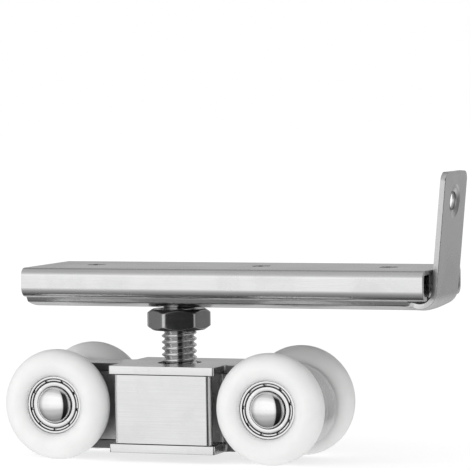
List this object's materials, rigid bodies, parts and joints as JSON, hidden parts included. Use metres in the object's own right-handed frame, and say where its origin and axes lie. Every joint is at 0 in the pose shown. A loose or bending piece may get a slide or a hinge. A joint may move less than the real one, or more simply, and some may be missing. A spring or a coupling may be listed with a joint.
{
  "type": "sliding door roller hanger",
  "caption": "Roller hanger for a sliding door: nylon-wheeled carriage, height-adjusting hanger bolt with lock nut, and a slide-in door bracket with a bent stop tab.",
  "frame": {"origin": "on the door face (the channel's flat back face that lies on the door's top edge), where the hanger bolt's axis meets it", "axes": "+X along the rail towards the stop tab, +Y across the rail, +Z from the carriage into the door; the part is stored standing on its wheels as pictured, upside down to its use"},
  "size_m": [0.104, 0.0286, 0.0646],
  "materials": {
    "brushed_stainless": "fine brushed along the rail",
    "polished_steel": "bright polished",
    "plated_steel": "dark bright-plated",
    "shield_steel": "pressed sheet",
    "cage_steel": "pressed sheet",
    "white_nylon": "smooth moulded, slight sheen"
  },
  "bodies": {
    "carriage": {"carriage_band": "brushed_stainless", "centre_block": "brushed_stainless", "axle_left": "polished_steel", "axle_right": "polished_steel", "bearing_inner_front_left": "polished_steel", "bearing_inner_front_right": "polished_steel", "bearing_inner_rear_left": "polished_steel", "bearing_inner_rear_right": "polished_steel", "spacer_front_left": "brushed_stainless", "spacer_front_right": "brushed_stainless", "spacer_rear_left": "brushed_stainless", "spacer_rear_right": "brushed_stainless"},
    "wheel_front_left": {"tyre_front_left": "white_nylon", "bearing_outer_front_left": "polished_steel", "shield_out_front_left": "shield_steel", "shield_in_front_left": "shield_steel"},
    "cage_front_left": {"ball_cage_front_left": "cage_steel"},
    "wheel_front_right": {"tyre_front_right": "white_nylon", "bearing_outer_front_right": "polished_steel", "shield_out_front_right": "shield_steel", "shield_in_front_right": "shield_steel"},
    "cage_front_right": {"ball_cage_front_right": "cage_steel"},
    "wheel_rear_left": {"tyre_rear_left": "white_nylon", "bearing_outer_rear_left": "polished_steel", "shield_out_rear_left": "shield_steel", "shield_in_rear_left": "shield_steel"},
    "cage_rear_left": {"ball_cage_rear_left": "cage_steel"},
    "wheel_rear_right": {"tyre_rear_right": "white_nylon", "bearing_outer_rear_right": "polished_steel", "shield_out_rear_right": "shield_steel", "shield_in_rear_right": "shield_steel"},
    "cage_rear_right": {"ball_cage_rear_right": "cage_steel"},
    "hanger": {"hanger_plate": "brushed_stainless"},
    "bolt": {"hanger_bolt": "polished_steel"},
    "nut": {"lock_nut": "plated_steel"},
    "channel": {"door_channel": "brushed_stainless"}
  },
  "joints": [
    {"name": "spin_front_left", "type": "hinge", "parent": "carriage", "child": "wheel_front_left", "pos_m": [-0.0256, -0.0105, -0.031], "axis": [0, 1, 0], "continuous": true},
    {"name": "cage_spin_front_left", "type": "hinge", "parent": "carriage", "child": "cage_front_left", "pos_m": [-0.0256, -0.0105, -0.031], "axis": [0, 1, 0], "continuous": true},
    {"name": "spin_front_right", "type": "hinge", "parent": "carriage", "child": "wheel_front_right", "pos_m": [0.0256, -0.0105, -0.031], "axis": [0, 1, 0], "continuous": true},
    {"name": "cage_spin_front_right", "type": "hinge", "parent": "carriage", "child": "cage_front_right", "pos_m": [0.0256, -0.0105, -0.031], "axis": [0, 1, 0], "continuous": true},
    {"name": "spin_rear_left", "type": "hinge", "parent": "carriage", "child": "wheel_rear_left", "pos_m": [-0.0256, 0.0105, -0.031], "axis": [0, 1, 0], "continuous": true},
    {"name": "cage_spin_rear_left", "type": "hinge", "parent": "carriage", "child": "cage_rear_left", "pos_m": [-0.0256, 0.0105, -0.031], "axis": [0, 1, 0], "continuous": true},
    {"name": "spin_rear_right", "type": "hinge", "parent": "carriage", "child": "wheel_rear_right", "pos_m": [0.0256, 0.0105, -0.031], "axis": [0, 1, 0], "continuous": true},
    {"name": "cage_spin_rear_right", "type": "hinge", "parent": "carriage", "child": "cage_rear_right", "pos_m": [0.0256, 0.0105, -0.031], "axis": [0, 1, 0], "continuous": true},
    {"name": "height_adjust", "type": "slide", "parent": "carriage", "child": "hanger", "axis": [0, 0, 1], "range_m": [-0.004, 0.006]},
    {"name": "bolt_turn", "type": "hinge", "parent": "hanger", "child": "bolt", "pos_m": [0, 0, -0.0215], "axis": [0, 0, 1], "range_deg": [-1022, 1533]},
    {"name": "nut_travel", "type": "slide", "parent": "bolt", "child": "nut", "axis": [0, 0, 1], "range_m": [-0.003, 0.0003]},
    {"name": "channel_slide", "type": "slide", "parent": "hanger", "child": "channel", "axis": [1, 0, 0], "range_m": [-0.09, 0]}
  ],
  "couplings": [
    {"joint": "cage_spin_front_left", "follows": "spin_front_left", "ratio": 0.632},
    {"joint": "cage_spin_front_right", "follows": "spin_front_right", "ratio": 0.632},
    {"joint": "cage_spin_rear_left", "follows": "spin_rear_left", "ratio": 0.632},
    {"joint": "cage_spin_rear_right", "follows": "spin_rear_right", "ratio": 0.632},
    {"joint": "bolt_turn", "follows": "height_adjust", "rad_per_m": 4452.7}
  ]
}
